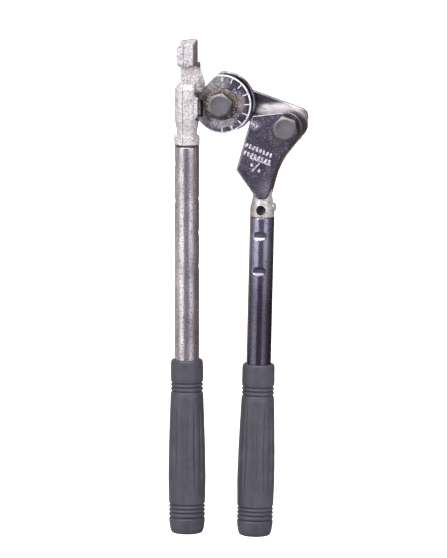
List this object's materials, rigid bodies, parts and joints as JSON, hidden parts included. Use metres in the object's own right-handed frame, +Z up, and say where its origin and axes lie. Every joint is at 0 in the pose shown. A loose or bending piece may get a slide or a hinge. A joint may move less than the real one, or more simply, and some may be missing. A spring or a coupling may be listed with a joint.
{
  "type": "hand tube bender",
  "caption": "Lever-type hand bender for small soft tube: a grooved form wheel with hook on one handle, a link plate, and a forming shoe on the other.",
  "frame": {"origin": "middle of the whole tool's footprint, on the surface it lies on", "axes": "+X right, from the fixed handle towards the moving handle; +Y along the handles towards the hook; +Z up, away from the table, out of the wheel's scale face"},
  "size_m": [0.0719, 0.2594, 0.0291],
  "materials": {
    "rough_nickel": "rough cast surface under bright nickel plate, pitted, rusty in the corners",
    "worn_chrome": "bright chrome with fine scratches and pits",
    "tube_chrome": "darker chrome with fine scratches and pits",
    "dark_chrome": "polished dark chrome with worn edges and pale engraved marks",
    "bolt_steel": "dull grey steel with brownish edges",
    "washer_steel": "steel browned with rust",
    "grip_rubber": "moulded, satin",
    "lock_nylon": "moulded, matt"
  },
  "bodies": {
    "fixed_handle": {"handle_casting": "rough_nickel", "form_wheel": "dark_chrome", "fixed_tube": "worn_chrome", "fixed_grip": "grip_rubber", "bend_front_washer": "washer_steel", "bend_bolt": "bolt_steel", "bend_back_washer": "washer_steel", "bend_nut": "bolt_steel", "bend_nut_ring": "lock_nylon", "bend_shim": "bolt_steel"},
    "link": {"link_plate": "dark_chrome", "shoe_bolt": "bolt_steel", "shoe_back_washer": "washer_steel", "shoe_nut": "bolt_steel", "shoe_nut_ring": "lock_nylon", "shoe_shim": "bolt_steel"},
    "moving_handle": {"shoe_head": "dark_chrome", "cross_pin": "rough_nickel", "moving_tube": "tube_chrome", "moving_grip": "grip_rubber"}
  },
  "joints": [
    {"name": "link_swing", "type": "hinge", "parent": "fixed_handle", "child": "link", "pos_m": [-0.0069, 0.0965, 0.01685], "axis": [0, 0, 1], "range_deg": [-2, 106]},
    {"name": "handle_swing", "type": "hinge", "parent": "link", "child": "moving_handle", "pos_m": [0.02716, 0.08517, 0.01685], "axis": [0, 0, 1], "range_deg": [-2, 100]}
  ]
}
